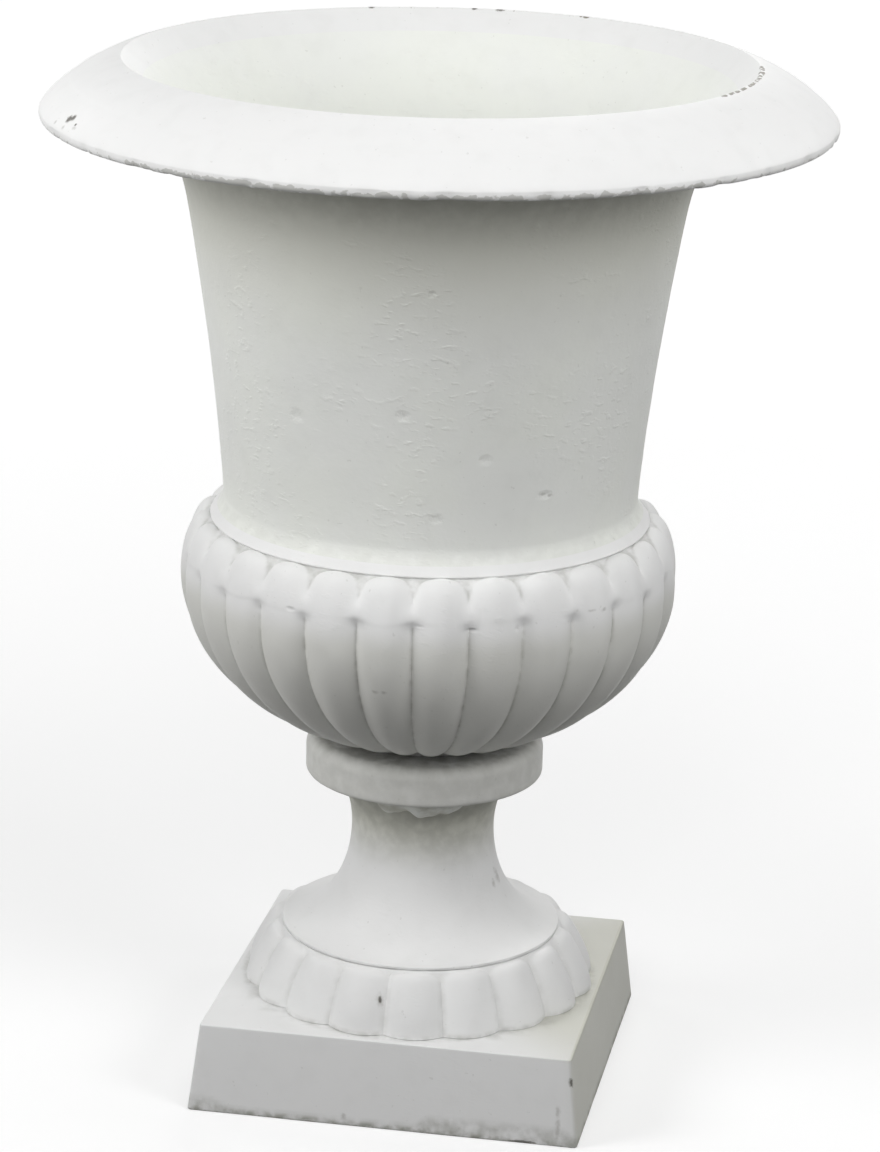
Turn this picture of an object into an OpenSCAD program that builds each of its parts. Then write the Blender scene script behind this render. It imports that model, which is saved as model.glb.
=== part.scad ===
// Campana urn planter in painted cast iron: a square plinth, a gadrooned foot ring, a trumpet socle,
// a collar, a gadrooned bowl, a flared bell and a rolled rim, cast apart and bolted together.
// Millimetres, +Z up. The origin is the centre of the plinth's underside, where the urn stands.

/* [Plinth] */
// Side of the square plinth on the ground
plinth_foot_side = 256; // [246:1:300]
// Side of the square plinth at its top face
plinth_top_side = 243; // [236:1:255]
// Height of the plinth
plinth_h = 58; // [48:1:90]
// Thickness of the plinth's side walls
plinth_wall = 10; // [7:0.5:14]
// Thickness of the plinth's top plate
plinth_plate = 9; // [6:0.5:14]

/* [Foot ring] */
// Height of the foot ring
ring_h = 38; // [30:1:48]
// Radius of the foot ring over its lobes, where they meet the plinth
ring_r = 116.5; // [112:0.5:118]
// Fullness of the ring's slope, from 1 for straight to 2 for well rounded
ring_fullness = 1.5; // [1:0.1:2]
// Number of lobes around the foot ring
ring_lobes = 18; // [12:1:24]
// Depth of the valleys between the ring's lobes
ring_lobe_depth = 6; // [3:0.5:8]
// Height of the lobes' rounded heads under the socle
ring_head_h = 10; // [5:0.5:16]
// Width of the ring's flat seat under the socle
ring_seat_w = 12; // [9:0.5:16]
// Turn of the foot ring on the plinth
ring_turn = -1.4; // [-10:0.1:10]

/* [Socle] */
// Height of the socle from the foot ring to the collar
socle_h = 106; // [95:1:130]
// Radius of the socle's spreading foot
socle_foot_r = 92; // [86:1:98]
// Height of the upright edge of the socle's foot
socle_edge_h = 2.5; // [1.5:0.5:8]
// Radius of the socle's neck at its narrowest
socle_neck_r = 47; // [44:0.5:54]
// Height of the narrowest neck below the collar
socle_neck_drop = 38; // [30:1:50]
// Radius of the socle's head under the collar
socle_head_r = 57; // [55:0.5:62]
// Thickness of the socle's wall
socle_wall = 9; // [6:0.5:11]
// Thickness of the plate at the top of the socle
socle_plate = 10; // [7:0.5:14]

/* [Collar] */
// Radius of the collar
collar_r = 78; // [74:0.5:86]
// Height of the collar
collar_h = 26; // [20:1:36]
// Rounding of the collar's upper edge
collar_top_round = 9; // [4:0.5:12]
// Rounding of the collar's lower edge
collar_low_round = 3; // [1:0.5:6]
// Width of the bead of filler round the joint under the collar
filler_w = 6; // [3:0.5:8]
// Depth of the bead of filler round the joint under the collar
filler_h = 5; // [3:0.5:8]
// Width of the sag at the front of the filler
sag_w = 12; // [9:0.5:14]
// Depth of the sag at the front of the filler
sag_h = 17; // [9:0.5:20]
// Middle of the sag, as an angle from the front towards the right
sag_middle = 9; // [-30:1:30]
// Spread of the sag round the neck
sag_spread = 62; // [30:1:90]

/* [Bowl] */
// Height of the bowl
bowl_h = 153.5; // [148:0.5:175]
// Radius of the bowl over its lobes
bowl_r = 161; // [155:1:172]
// Height of the widest part of the bowl above its underside
bowl_belly_h = 104; // [94:1:112]
// Radius of the lobes' tips at the underside
bowl_foot_r = 68; // [65:1:76]
// Number of lobes around the bowl
bowl_lobes = 28; // [20:1:32]
// Depth of the valleys at the widest part
bowl_lobe_depth = 6; // [3:0.5:8]
// Depth of the valleys at the underside, measured radially
bowl_foot_depth = 9; // [5:0.5:10]
// Turn of the bowl on the collar
bowl_turn = 6.8; // [-10:0.1:10]
// Radius where the lobes meet the plain band
band_r = 142; // [138.5:0.5:146]
// Height of the plain band below the bell
band_h = 10.5; // [7:0.5:14]
// Open gap between the bowl's underside and the collar
bowl_gap = 6; // [3:0.5:9]
// Thickness of the bowl's wall behind the valleys
bowl_wall = 8; // [6:0.5:11]
// Thickness of the bowl's floor
bowl_floor = 13; // [9:0.5:18]
// Radius of the bowl's seat on the collar
bowl_seat_r = 52; // [46:1:54]

/* [Bell] */
// Radius of the bell at its foot
bell_foot_r = 133; // [129:0.5:137]
// Radius of the bell where its flare begins
bell_neck_r = 158; // [150:0.5:164]
// Height of the bell up to where its flare begins
bell_body_h = 194.5; // [170:0.5:240]
// Hollow of the bell's side, off a straight line
bell_hollow = 2.5; // [0.5:0.5:6]
// Height of the flare up to the rim's crest
flare_h = 90; // [80:1:110]
// Thickness of the bell's wall
bell_wall = 8; // [6:0.5:10]

/* [Rim] */
// Radius of the rim's crest round the mouth
mouth_r = 199; // [192:1:204]
// Radius of the rim over its lip
rim_r = 250; // [243:1:270]
// Fall of the rim from its crest to its widest part
rim_drop = 33; // [28:0.5:40]
// Fullness of the rim's round, from 1 for a straight slope to 2 for a quarter of an ellipse
rim_fullness = 1.3; // [1.2:0.05:2]
// Depth of the lip below the rim's widest part
lip_h = 6; // [3:0.5:10]
// Thickness of the rim at its lip
rim_wall = 8; // [5:0.5:10]
// Height of the rim's crest above the bell's flange
rim_seat_h = 14; // [13:0.5:18]

/* [Flanges and fits] */
// Thickness of the bolted flanges
flange_t = 9; // [6:0.5:11]
// Width of the flat joint between the bell and the bowl
joint_w = 36; // [35:0.5:40]
// Height of the spigots that centre one casting on the next
spigot_h = 6; // [3:0.5:8]
// Wall of the spigots
spigot_wall = 8; // [5:0.5:9]
// Clearance of a spigot in its bore, all round
spigot_clearance = 0.3; // [0.2:0.05:0.6]

/* [Fasteners] */
// Diameter of the tie rod
rod_d = 16; // [12:1:18]
// Diameter of the flange bolts and rim screws
bolt_d = 8; // [6:1:9]
// Number of flange bolts
bolt_count = 6; // [4:1:8]
// Number of rim screws
screw_count = 6; // [4:1:10]
// Depth of the tapped holes for the rim screws
screw_hole_depth = 8; // [6:0.5:8.5]
// Width of the holes over the bolts in them
hole_clearance = 1; // [0.6:0.1:1.6]
// Clearance of a thread in its nut, all round
thread_clearance = 0.15; // [0.1:0.05:0.3]
// Diameter of the drain holes
drain_d = 8; // [5:0.5:10]
// Number of drain holes in each floor
drain_count = 6; // [3:1:8]

/* [Hidden] */
$fn = 96;

// Colours of the white paint, the filler and the zinc-plated fasteners
paint_colour = [0.90, 0.90, 0.88];
filler_colour = [0.82, 0.82, 0.79];
zinc_colour = [0.55, 0.55, 0.53];

// Straight steps along an ordinary round stretch of an outline, a long sweep and a small rounding
arc_steps = 10;
sweep_steps = 14;
rounding_steps = 6;
// Facets across one lobe of the foot ring and of the bowl
lobe_steps = 4;
// A little extra length, so that a cut runs clear of the face it opens and joined pieces overlap
over = 1;
// Least width left beside a hole or a washer
margin = 1.5;
// Width of the plain margin inside the valleys at the foot of a lobed solid
cap_step = 2;

// Heights of the joints, from the ground up
z_plinth = plinth_h;
z_ring = z_plinth + ring_h;
z_socle = z_ring + socle_h;
z_neck = z_socle - socle_neck_drop;
z_collar = z_socle + collar_h;
z_bowl = z_collar + bowl_gap;
z_belly = z_bowl + bowl_belly_h;
z_bell = z_bowl + bowl_h;
z_band = z_bell - band_h;
z_flare = z_bell + bell_body_h;
z_crest = z_flare + flare_h;
z_seat = z_crest - rim_seat_h;
z_wide = z_crest - rim_drop;

// Hexagon fasteners in the usual proportions of their thread
function hex_width(d) = 1.5 * d + 1;
function hex_corner_d(d) = hex_width(d) / cos(30);
function head_h(d) = 0.65 * d;
function nut_h(d) = 0.8 * d;
function washer_d(d) = 2 * d + 2;
function washer_t(d) = 0.2 * d;
function hole_d(d) = d + hole_clearance;

// Drain holes stand clear of the tie rod's washers, and the spigots stand clear of the drain holes
drain_ring_r = washer_d(rod_d) / 2 + margin + drain_d / 2;
spigot_in_r = drain_ring_r + drain_d / 2 + margin;
spigot_r = spigot_in_r + spigot_wall;
collar_bore_r = spigot_r + spigot_clearance;
ring_bore_r = socle_foot_r - ring_seat_w;
ring_spigot_r = ring_bore_r - spigot_clearance;

// The flat joint between the bell and the bowl, with its bolts clear of the bell's wall
joint_r = bell_foot_r - joint_w;
joint_spigot_r = joint_r + spigot_wall;
joint_bore_r = joint_spigot_r + spigot_clearance;
bolt_ring_r = bell_foot_r - bell_wall - margin - washer_d(bolt_d) / 2;
bolt_grip = 2 * flange_t + 2 * washer_t(bolt_d);
bolt_tail = 3;

// Points on an arc of an ellipse, from angle a to angle b
function arc(centre_r, centre_z, radius_r, radius_z, a, b, steps = arc_steps) =
  [for (i = [0 : steps]) let (t = a + (b - a) * i / steps)
    [centre_r + radius_r * cos(t), centre_z + radius_z * sin(t)]];

// Points on a line between two points, hollowed towards the axis by the given amount in the middle
function hollowed(p, q, hollow, steps = arc_steps) =
  [for (i = [0 : steps]) let (t = i / steps)
    p + (q - p) * t - [4 * hollow * t * (1 - t), 0]];

// The bell's flare is one round arc: it leaves the side of the bell smoothly and ends at the crest.
// Its angles are leans off the upright.
flare_start = atan((bell_neck_r - bell_foot_r + 4 * bell_hollow) / bell_body_h);
flare_in = [bell_neck_r - bell_wall * cos(flare_start), z_flare + bell_wall * sin(flare_start)];
flare_chord = [mouth_r, z_crest] - flare_in;
flare_end = 2 * atan2(flare_chord[0], flare_chord[1]) - flare_start;
flare_radius = norm(flare_chord) / (2 * sin((flare_end - flare_start) / 2));
flare_centre = flare_in + flare_radius * [cos(flare_start), -sin(flare_start)];
flare_out_radius = flare_radius - bell_wall;
function flare_lean(z, radius) = asin((z - flare_centre[1]) / radius);
function flare_arc(radius, a, b, steps = arc_steps) =
  arc(flare_centre[0], flare_centre[1], -radius, radius, a, b, steps);

// The bell's flange at the top of the flare, with the rim's screws in its middle
z_flange = z_seat - flange_t;
seat_lean = flare_lean(z_seat, flare_radius);
flange_lean = flare_lean(z_flange, flare_out_radius);
flange_in_r = flare_centre[0] - flare_out_radius * cos(flange_lean);

// Points on the rim's round between two angles, from 90 over the crest to 0 at the widest part
function rim_point(width, drop, t) =
  [mouth_r + width * pow(cos(t), 2 / rim_fullness), z_wide + drop * pow(sin(t), 2 / rim_fullness)];
function rim_round(width, drop, a, b, steps = arc_steps) =
  [for (i = [0 : steps]) rim_point(width, drop, a + (b - a) * i / steps)];

// The hollow under the rim, which the bell's flange fits into
rim_hollow_drop = rim_drop - rim_wall;
rim_hollow_w = rim_r - rim_wall - mouth_r;
rim_hollow_end = asin(pow((z_seat - z_wide) / rim_hollow_drop, rim_fullness / 2));
rim_flange_gap = 1;
flange_out_r = rim_point(rim_hollow_w, rim_hollow_drop, rim_hollow_end)[0] - rim_flange_gap;
screw_ring_r = (flange_in_r + flange_out_r) / 2;
// Free length of the tapped holes past the ends of the rim screws
screw_end_gap = 1;
// The rim's outer round begins just past its crest, which the flare has drawn already
rim_round_start = 85;

// Seats of the tie rod's washers, and what the rod needs past each seat
z_rod_top_seat = z_bowl + bowl_floor;
z_rod_low_seat = plinth_h - plinth_plate;
rod_tail = 5;
rod_stack = washer_t(rod_d) + nut_h(rod_d) + rod_tail;

// Rounded height of a lobe at u across it (-1 to 1) and at h into its rounded head (0 to 1)
function lobe_rise(u, h) = max(0, 1 - u * u - h * h);

// A solid whose outline is a stack of rings. Each ring is [base point, bump at the crest, head].
// The first and the last ring are plain circles, so that flat caps close the solid.
module lobed_solid(rings, lobes, turn) {
  columns = lobes * lobe_steps;
  points = [
    for (ring = rings) for (j = [0 : columns - 1])
      let (
        u = 2 * (j % lobe_steps) / lobe_steps - 1,
        p = ring[0] + ring[1] * lobe_rise(u, ring[2]),
        a = turn - 90 + 360 * j / columns
      )
      [p[0] * cos(a), p[0] * sin(a), p[1]]
  ];
  top = (len(rings) - 1) * columns;
  faces = concat(
    [[for (j = [0 : columns - 1]) j]],
    [[for (j = [columns - 1 : -1 : 0]) top + j]],
    [for (i = [0 : len(rings) - 2]) for (j = [0 : columns - 1])
      let (k = (j + 1) % columns, low = i * columns, high = low + columns)
      each [[low + j, high + j, low + k], [low + k, high + j, high + k]]]
  );
  polyhedron(points, faces);
}

// Round disc between two heights
module disc(low, high, radius) {
  translate([0, 0, low]) cylinder(h = high - low, r = radius);
}

// Copies of what follows, in a circle about the axis
module around(count, radius) {
  for (i = [0 : count - 1]) rotate(360 * i / count) translate([radius, 0, 0]) children();
}

// Tie-rod hole and drain holes through a floor between two heights
module floor_holes(low, high) {
  disc(low - over, high + over, hole_d(rod_d) / 2);
  around(drain_count, drain_ring_r) disc(low - over, high + over, drain_d / 2);
}

// Circle of bolt holes through a flange between two heights
module flange_holes(low, high, count, radius) {
  around(count, radius) disc(low - over, high + over, hole_d(bolt_d) / 2);
}

// Hexagon bolt with its head below z = 0 and its shank going up
module hex_bolt(d, shank) {
  translate([0, 0, -head_h(d)]) cylinder(h = head_h(d), d = hex_corner_d(d), $fn = 6);
  cylinder(h = shank, d = d);
}

// Hexagon nut standing on z = 0
module hex_nut(d) {
  difference() {
    cylinder(h = nut_h(d), d = hex_corner_d(d), $fn = 6);
    disc(-over, nut_h(d) + over, d / 2 + thread_clearance);
  }
}

// Plain washer lying on z = 0
module plain_washer(d) {
  difference() {
    cylinder(h = washer_t(d), d = washer_d(d));
    disc(-over, washer_t(d) + over, hole_d(d) / 2);
  }
}

// Side of the plinth at a height above the ground
function plinth_side(z) = plinth_foot_side + (plinth_top_side - plinth_foot_side) * z / plinth_h;

module plinth() {
  hollow_h = plinth_h - plinth_plate;
  hollow_foot = plinth_foot_side - 2 * plinth_wall;
  hollow_top = plinth_side(hollow_h) - 2 * plinth_wall;
  color(paint_colour)
  difference() {
    union() {
      linear_extrude(height = plinth_h, scale = plinth_top_side / plinth_foot_side)
        square(plinth_foot_side, center = true);
      disc(plinth_h - over, plinth_h + spigot_h, ring_spigot_r);
    }
    linear_extrude(height = hollow_h, scale = hollow_top / hollow_foot)
      square(hollow_foot, center = true);
    floor_holes(hollow_h, plinth_h + spigot_h);
  }
}

// Rings of the foot ring's lobed outside, which slopes in from the plinth up to the socle's foot.
// Levels run from 0 on the plinth to 1 under the socle.
function ring_outline() =
  let (
    valley_r = ring_r - ring_lobe_depth,
    spread = valley_r - socle_foot_r,
    head_from = 1 - ring_head_h / ring_h,
    slope_steps = 6,
    head_steps = 5,
    levels = concat(
      [for (i = [0 : slope_steps - 1]) head_from * i / slope_steps],
      [for (i = [0 : head_steps]) head_from + (1 - head_from) * i / head_steps]
    )
  )
  concat(
    [[[valley_r - cap_step, z_plinth], [0, 0], 0]],
    [for (k = levels)
      let (
        lean = k == 0 ? 0 : atan(ring_fullness * spread / ring_h * pow(k, ring_fullness - 1)),
        head = max(0, k - head_from) / (1 - head_from)
      )
      [[socle_foot_r + spread * (1 - pow(k, ring_fullness)), z_plinth + ring_h * k],
       ring_lobe_depth * [cos(lean), sin(lean)], head]]
  );

module foot_ring() {
  color(paint_colour)
  difference() {
    lobed_solid(ring_outline(), ring_lobes, ring_turn);
    disc(z_plinth - over, z_ring + over, ring_bore_r);
  }
}

// Radius of the socle above its narrowest neck
function neck_r(z) = socle_neck_r + (socle_head_r - socle_neck_r) * pow((z - z_neck) / socle_neck_drop, 2);

// Half outline of the socle, taken in by the given wall, from its foot up to its head
function socle_outline(inset) =
  let (z_edge = z_ring + socle_edge_h)
  concat(
    arc(socle_foot_r - inset, z_neck, socle_foot_r - socle_neck_r, z_neck - z_edge, 270, 180, sweep_steps),
    [for (i = [1 : arc_steps]) let (z = z_neck + socle_neck_drop * i / arc_steps) [neck_r(z) - inset, z]]
  );

// The space inside the socle, open below through its spigot and closed by the plate above
module socle_hollow() {
  mouth = ring_spigot_r - socle_wall;
  low = z_ring - spigot_h - over;
  roof = z_socle - socle_plate;
  outline = [for (p = socle_outline(socle_wall)) if (p[1] < roof) [min(p[0], mouth), p[1]]];
  top = outline[len(outline) - 1];
  rotate_extrude() polygon(concat([[0, low], [mouth, low]], outline, [[top[0], roof], [0, roof]]));
}

module socle() {
  color(paint_colour)
  difference() {
    union() {
      rotate_extrude()
        polygon(concat([[0, z_ring], [socle_foot_r, z_ring]], socle_outline(0), [[0, z_socle]]));
      disc(z_ring - spigot_h, z_ring + over, ring_spigot_r);
      disc(z_socle - over, z_socle + spigot_h, spigot_r);
    }
    socle_hollow();
    disc(z_socle, z_socle + spigot_h + over, spigot_in_r);
    floor_holes(z_socle - socle_plate, z_socle);
  }
}

// Round edge of the collar, with the rounding's centre at the given height
function collar_edge(round, z, a, b) = arc(collar_r - round, z, round, round, a, b, rounding_steps);

module collar() {
  color(paint_colour)
  rotate_extrude()
    polygon(concat(
      [[collar_bore_r, z_socle]],
      collar_edge(collar_low_round, z_socle + collar_low_round, -90, 0),
      collar_edge(collar_top_round, z_collar - collar_top_round, 0, 90),
      [[collar_bore_r, z_collar]]
    ));
}

// Half outline of a bead of filler under the collar, standing off the neck by the given gap
module filler_outline(width, depth, gap) {
  polygon(concat(
    [for (i = [0 : rounding_steps]) let (z = z_socle - depth * i / rounding_steps) [neck_r(z) + gap, z]],
    [for (i = [1 : rounding_steps]) let (t = 90 * i / rounding_steps, z = z_socle - depth * cos(t))
      [neck_r(z) + gap + width * sin(t), z]]
  ));
}

module collar_filler() {
  color(filler_colour) {
    rotate_extrude() filler_outline(filler_w, filler_h, spigot_clearance);
    rotate(sag_middle - sag_spread / 2 - 90)
      rotate_extrude(angle = sag_spread) filler_outline(sag_w, sag_h, 2 * spigot_clearance);
  }
}

// Rings of the bowl's lobed outside, from its underside up to the bell
function bowl_outline() =
  let (
    valley_r = bowl_r - bowl_lobe_depth,
    foot_valley_r = bowl_foot_r - bowl_foot_depth,
    foot_t = acos(foot_valley_r / valley_r),
    depth_z = bowl_belly_h / sin(foot_t),
    groove = 1,
    groove_r = band_r - groove,
    shoulder_w = valley_r - groove_r,
    shoulder_h = z_band - groove - z_belly,
    low_steps = 9,
    high_steps = 8
  )
  concat(
    [[[foot_valley_r - cap_step, z_bowl], [0, 0], 0]],
    [for (i = [0 : low_steps - 1]) let (k = 1 - i / low_steps, t = foot_t * k)
      [[valley_r * cos(t), z_belly - depth_z * sin(t)],
       [bowl_lobe_depth + (bowl_foot_depth - bowl_lobe_depth) * k * k, 0], 0]],
    [for (i = [0 : high_steps]) let (k = i / high_steps, t = 90 * k)
      [[groove_r + shoulder_w * cos(t), z_belly + shoulder_h * sin(t)],
       bowl_lobe_depth * [cos(t), i == high_steps ? 0 : sin(t)], max(0, 2 * k - 1)]],
    [[[band_r, z_band], [0, 0], 0], [[bell_foot_r, z_bell], [0, 0], 0]]
  );

// The space inside the bowl, from its floor up to the underside of its flange
module bowl_hollow() {
  in_r = bowl_r - bowl_lobe_depth - bowl_wall;
  floor_z = z_bowl + bowl_floor;
  roof_z = z_bell - flange_t;
  roof_r = bell_foot_r - bell_wall;
  rotate_extrude()
    polygon(concat(
      [[0, floor_z], [spigot_r, floor_z]],
      arc(spigot_r, z_belly, in_r - spigot_r, z_belly - floor_z, -90, 0),
      arc(roof_r, z_belly, in_r - roof_r, roof_z - z_belly, 0, 90),
      [[0, roof_z]]
    ));
}

module gadroon_bowl() {
  color(paint_colour)
  difference() {
    union() {
      lobed_solid(bowl_outline(), bowl_lobes, bowl_turn);
      disc(z_collar, z_bowl + over, bowl_seat_r);
      disc(z_collar - spigot_h, z_collar + over, spigot_r);
    }
    bowl_hollow();
    disc(z_collar - spigot_h - over, z_collar, spigot_in_r);
    floor_holes(z_collar, z_bowl + bowl_floor);
    disc(z_bell - flange_t - over, z_bell + over, joint_bore_r);
    flange_holes(z_bell - flange_t, z_bell, bolt_count, bolt_ring_r);
  }
}

module bell() {
  inside = hollowed([bell_foot_r - bell_wall, z_bell + flange_t], flare_in, bell_hollow);
  outside = hollowed([bell_neck_r, z_flare], [bell_foot_r, z_bell], bell_hollow);
  color(paint_colour)
  difference() {
    rotate_extrude()
      polygon(concat(
        [[joint_r, z_bell - spigot_h], [joint_r, z_bell + flange_t]],
        inside,
        flare_arc(flare_radius, flare_start, seat_lean),
        [[flange_out_r, z_seat], [flange_out_r, z_flange]],
        flare_arc(flare_out_radius, flange_lean, flare_start),
        outside,
        [[joint_spigot_r, z_bell], [joint_spigot_r, z_bell - spigot_h]]
      ));
    flange_holes(z_bell, z_bell + flange_t, bolt_count, bolt_ring_r);
    flange_holes(z_flange, z_seat, screw_count, screw_ring_r);
  }
}

module rim() {
  lip_round = rim_wall / 2;
  z_lip = z_wide - lip_h + lip_round;
  color(paint_colour)
  difference() {
    rotate_extrude()
      polygon(concat(
        flare_arc(flare_radius, seat_lean, flare_end, rounding_steps),
        rim_round(rim_r - mouth_r, rim_drop, rim_round_start, 0, sweep_steps),
        arc(rim_r - lip_round, z_lip, lip_round, lip_round, 0, -180, rounding_steps),
        rim_round(rim_hollow_w, rim_hollow_drop, 0, rim_hollow_end)
      ));
    around(screw_count, screw_ring_r)
      disc(z_seat - over, z_seat + screw_hole_depth, bolt_d / 2 + thread_clearance);
  }
}

module tie_rod() {
  color(zinc_colour) disc(z_rod_low_seat - rod_stack, z_rod_top_seat + rod_stack, rod_d / 2);
}

module tie_rod_top_nut() {
  color(zinc_colour) translate([0, 0, z_rod_top_seat + washer_t(rod_d)]) hex_nut(rod_d);
}

module tie_rod_top_washer() {
  color(zinc_colour) translate([0, 0, z_rod_top_seat]) plain_washer(rod_d);
}

module tie_rod_bottom_nut() {
  color(zinc_colour) translate([0, 0, z_rod_low_seat - washer_t(rod_d) - nut_h(rod_d)]) hex_nut(rod_d);
}

module tie_rod_bottom_washer() {
  color(zinc_colour) translate([0, 0, z_rod_low_seat - washer_t(rod_d)]) plain_washer(rod_d);
}

module flange_bolts() {
  shank = bolt_grip + nut_h(bolt_d) + bolt_tail;
  color(zinc_colour)
  translate([0, 0, z_bell + bolt_grip / 2])
    around(bolt_count, bolt_ring_r) mirror([0, 0, 1]) hex_bolt(bolt_d, shank);
}

module flange_nuts() {
  color(zinc_colour)
  translate([0, 0, z_bell - bolt_grip / 2 - nut_h(bolt_d)])
    around(bolt_count, bolt_ring_r) hex_nut(bolt_d);
}

module flange_washers() {
  color(zinc_colour)
  for (z = [z_bell + flange_t, z_bell - flange_t - washer_t(bolt_d)])
    translate([0, 0, z]) around(bolt_count, bolt_ring_r) plain_washer(bolt_d);
}

module rim_screws() {
  grip = flange_t + washer_t(bolt_d);
  color(zinc_colour)
  translate([0, 0, z_seat - grip])
    around(screw_count, screw_ring_r) hex_bolt(bolt_d, grip + screw_hole_depth - screw_end_gap);
}

module rim_screw_washers() {
  color(zinc_colour)
  translate([0, 0, z_flange - washer_t(bolt_d)])
    around(screw_count, screw_ring_r) plain_washer(bolt_d);
}

plinth();
foot_ring();
socle();
collar();
collar_filler();
gadroon_bowl();
bell();
rim();
tie_rod();
tie_rod_top_nut();
tie_rod_top_washer();
tie_rod_bottom_nut();
tie_rod_bottom_washer();
flange_bolts();
flange_nuts();
flange_washers();
rim_screws();
rim_screw_washers();
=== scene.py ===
"""Looks of a white-painted cast-iron campana urn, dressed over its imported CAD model.

Lengths are millimetres until a mesh is made. Angles round the axis are degrees from the front (-Y)
towards the right (+X). An outline is a closed loop of (radius, height) points, up the outside first.
A mark on the paint is (angle, radius, height, half width, half height).
"""

import math

import bpy
import numpy as np
from mathutils import Matrix, Vector


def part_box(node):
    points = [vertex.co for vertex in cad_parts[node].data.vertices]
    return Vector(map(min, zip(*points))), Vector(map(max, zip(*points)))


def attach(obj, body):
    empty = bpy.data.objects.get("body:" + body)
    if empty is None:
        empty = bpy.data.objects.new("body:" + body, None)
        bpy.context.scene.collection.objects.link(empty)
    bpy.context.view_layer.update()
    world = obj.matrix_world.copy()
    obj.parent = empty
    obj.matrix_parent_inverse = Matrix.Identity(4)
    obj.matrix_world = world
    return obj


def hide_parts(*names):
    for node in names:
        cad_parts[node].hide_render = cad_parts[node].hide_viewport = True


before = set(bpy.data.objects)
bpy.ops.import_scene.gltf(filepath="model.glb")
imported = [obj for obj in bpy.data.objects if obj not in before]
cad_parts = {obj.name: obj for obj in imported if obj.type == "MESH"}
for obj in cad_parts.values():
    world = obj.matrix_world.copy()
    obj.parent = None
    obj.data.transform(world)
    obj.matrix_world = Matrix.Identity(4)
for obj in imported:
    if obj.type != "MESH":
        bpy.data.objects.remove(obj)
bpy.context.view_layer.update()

MM = 0.001


def heights(node):
    """Lowest and highest z of a CAD node."""
    low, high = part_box(node)
    return low.z / MM, high.z / MM


def half_width(node):
    """Largest x of a CAD node."""
    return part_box(node)[1].x / MM


# Heights of stretches within one casting
neck_h = 38
bowl_gap_h = 6
belly_h = 104
band_h = 10.5
flare_h = 90
rim_h = 33

# Heights of the joints, and of the bends between them
z_plinth, z_ring = heights("foot_ring")
z_socle, z_collar = heights("collar")
z_neck = z_socle - neck_h
z_bowl = z_collar + bowl_gap_h
z_belly = z_bowl + belly_h
z_bell = heights("gadroon_bowl")[1]
z_band = z_bell - band_h
z_seat = heights("bell")[1]
z_lip, z_crest = heights("rim")
z_flare = z_crest - flare_h
z_wide = z_crest - rim_h

# Fits and holes that the castings share
spigot_h = heights("plinth")[1] - z_plinth
spigot_in_r = 28
spigot_r = 36
fit_gap = 0.3
rod_hole_r = 8.5
drain_hole_r = 4
drain_ring_r = 22.5
drain_count = 6
flange_t = 9

# Plinth
plinth_half = half_width("plinth")
plinth_top_half = 121.5
plinth_wall = 10
plinth_plate = 9
plinth_corner = 2.5

# Foot ring
ring_r = 116.5
ring_bore_r = 80
ring_fullness = 1.5
ring_lobes = 18
ring_depth = 6
ring_head_h = 10
ring_turn = -1.4

# Socle, collar and the filler between them
socle_foot_r = 92
socle_edge_h = 2.5
socle_neck_r = 47
socle_head_r = 57
socle_wall = 9
socle_plate = 10
collar_r = half_width("collar")
collar_top_round = 9
collar_low_round = 3
filler_w = 6
filler_h = 5
sag_w = 17
sag_h = 17
sag_middle = 9
sag_spread = 62

# Bowl
bowl_r = 161
bowl_foot_r = 68
bowl_lobes = 28
bowl_depth = 6
bowl_foot_depth = 9
bowl_turn = 6.8
bowl_wall = 8
bowl_floor = 13
bowl_seat_r = 52
band_r = 142
groove = 1.7
tip_round = 5
seam_z = 351

# Bell and rim
bell_foot_r = 133
bell_neck_r = 158
bell_hollow = 2.5
bell_wall = 8
joint_r = 97
joint_spigot_r = 105
flange_out_r = half_width("bell")
mouth_r = 199
rim_r = half_width("rim")
rim_fullness = 1.3
rim_wall = 8

# Fasteners, with the heights of heads, nuts and washers as shares of the thread's diameter
rod_d = 16
rod_pitch = 2
rod_thread_h = 38
bolt_d = 8
bolt_pitch = 1.25
bolt_count = 6
bolt_ring_r = 114.5
head_share = 0.65
nut_share = 0.8
washer_share = 0.2
washer_edge = 1
screw_ring_r = half_width("rim_screw_washers") - bolt_d - washer_edge

# Spacing of the points on a plain outline, on a fine one and on one that is hidden
PLAIN = 2.4
FINE = 1.2
HIDDEN = 6

# Columns of points round a piece, or round each lobe of one
LOBE_COLUMNS = 20
NECK_COLUMNS = 320
FILLER_COLUMNS = 360
BELL_COLUMNS = 440
RIM_COLUMNS = 600
HEXAGON_COLUMNS = 72
ROUND_COLUMNS = 48
DRILL_COLUMNS = 32

# Seeds of what is left to chance. Further draws for a piece use the numbers that follow its seed.
PLINTH_SEED = 11
RING_SEED = 21
SOCLE_SEED = 31
COLLAR_SEED = 41
FILLER_SEED = 51
BOWL_SEED = 61
BELL_SEED = 71
RIM_SEED = 81


def line(start, end, step=HIDDEN):
    """Points on a straight stretch, at most one step apart."""
    start = np.array(start, float)
    end = np.array(end, float)
    count = max(1, math.ceil(np.hypot(*(end - start)) / step))
    return start + (end - start) * np.linspace(0, 1, count + 1)[:, None]


def hollowed(start, end, hollow, step):
    """A straight stretch that is drawn in towards the axis in its middle."""
    points = line(start, end, step)
    t = np.linspace(0, 1, len(points))
    points[:, 0] -= 4 * hollow * t * (1 - t)
    return points


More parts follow.
